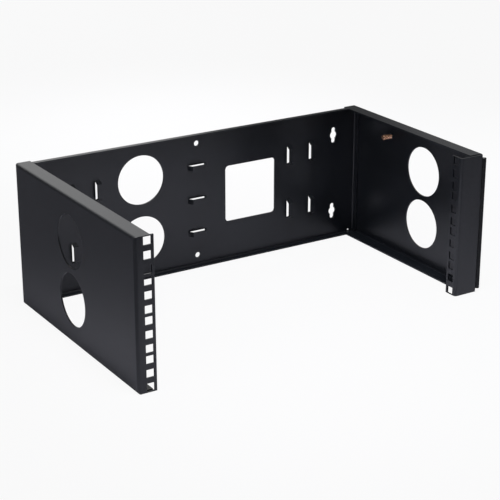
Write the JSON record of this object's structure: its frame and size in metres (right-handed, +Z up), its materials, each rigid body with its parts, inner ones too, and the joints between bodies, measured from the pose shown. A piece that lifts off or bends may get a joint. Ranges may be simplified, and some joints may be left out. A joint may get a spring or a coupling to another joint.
{
  "type": "mounting bracket",
  "caption": "Wall bracket for 19 inch rack equipment: a welded frame of folded steel with cable openings, a fixed square-hole rail and a hinged square-hole rail.",
  "frame": {"origin": "at the foot of the bracket, in the middle of the rack opening and of the depth", "axes": "+X across the rack from the fixed rail to the hinge, +Y from the front to the wall, +Z up"},
  "size_m": [0.4928, 0.297, 0.1768],
  "materials": {
    "powder_coat": "fine-textured satin powder coat",
    "hinge_coat": "satin powder coat",
    "pin_steel": "drawn",
    "copper_flash": "copper-flashed steel"
  },
  "bodies": {
    "bracket": {"back_panel": "powder_coat", "left_side_panel": "powder_coat", "right_side_panel": "powder_coat", "hinge_side_leaf": "hinge_coat", "hinge_pin": "pin_steel", "ground_stud": "copper_flash"},
    "rail": {"swing_rail": "powder_coat", "hinge_rail_leaf": "hinge_coat"}
  },
  "joints": [
    {"name": "rail_swing", "type": "hinge", "parent": "bracket", "child": "rail", "pos_m": [0.24245, -0.1138, 0.0884], "axis": [0, 0, 1], "range_deg": [0, 240]}
  ]
}
